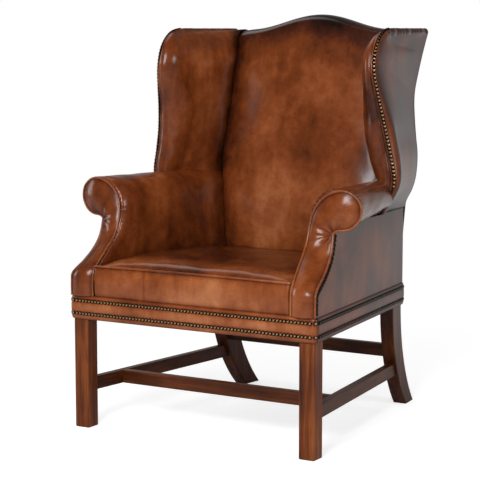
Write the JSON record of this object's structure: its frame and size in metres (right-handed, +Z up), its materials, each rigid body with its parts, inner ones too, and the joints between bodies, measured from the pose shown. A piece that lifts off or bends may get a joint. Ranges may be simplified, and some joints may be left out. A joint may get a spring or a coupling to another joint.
{
  "type": "wing armchair",
  "caption": "High-backed leather wing armchair with scroll arms, a camel-back crest and a tight seat, on square front legs and swept rear legs joined by stretchers.",
  "frame": {"origin": "on the floor, under the middle of the chair's bounding box", "axes": "+Z up, the chair faces -Y, +X to the right of someone who looks at its front"},
  "size_m": [0.8558, 0.776, 1.112],
  "materials": {
    "show_wood": "satin stained",
    "frame_wood": "sawn",
    "steel": "plain wire",
    "canvas": "woven jute",
    "lining": "black cambric",
    "leather": "antiqued, waxed"
  },
  "bodies": {
    "root": {"front_leg_left": "show_wood", "front_leg_right": "show_wood", "rear_leg_left": "show_wood", "rear_leg_right": "show_wood", "side_stretcher_left": "show_wood", "side_stretcher_right": "show_wood", "cross_stretcher": "show_wood", "rear_stretcher": "show_wood", "front_seat_rail": "frame_wood", "rear_seat_rail": "frame_wood", "side_seat_rail_left": "frame_wood", "side_seat_rail_right": "frame_wood", "corner_blocks": "frame_wood", "arm_stump_left": "frame_wood", "arm_stump_right": "frame_wood", "arm_rail_left": "frame_wood", "arm_rail_right": "frame_wood", "wing_post_left": "frame_wood", "wing_post_right": "frame_wood", "wing_rail_left": "frame_wood", "wing_rail_right": "frame_wood", "crest_rail": "frame_wood", "lower_back_rail": "frame_wood", "corner_block_screws": "steel", "seat_springs": "steel", "spring_clips": "steel", "spring_cover": "canvas", "back_webbing": "canvas", "dust_cover": "lining", "seat_pad": "leather", "seat_border": "leather", "inside_back": "leather", "outside_back": "leather", "inside_arm_left": "leather", "inside_arm_right": "leather", "arm_front_left": "leather", "arm_front_right": "leather", "outside_arm_left": "leather", "outside_arm_right": "leather", "inside_wing_left": "leather", "inside_wing_right": "leather", "outside_wing_left": "leather", "outside_wing_right": "leather", "front_band": "leather", "side_band_left": "leather", "side_band_right": "leather", "rear_band": "leather"}
  },
  "joints": []
}
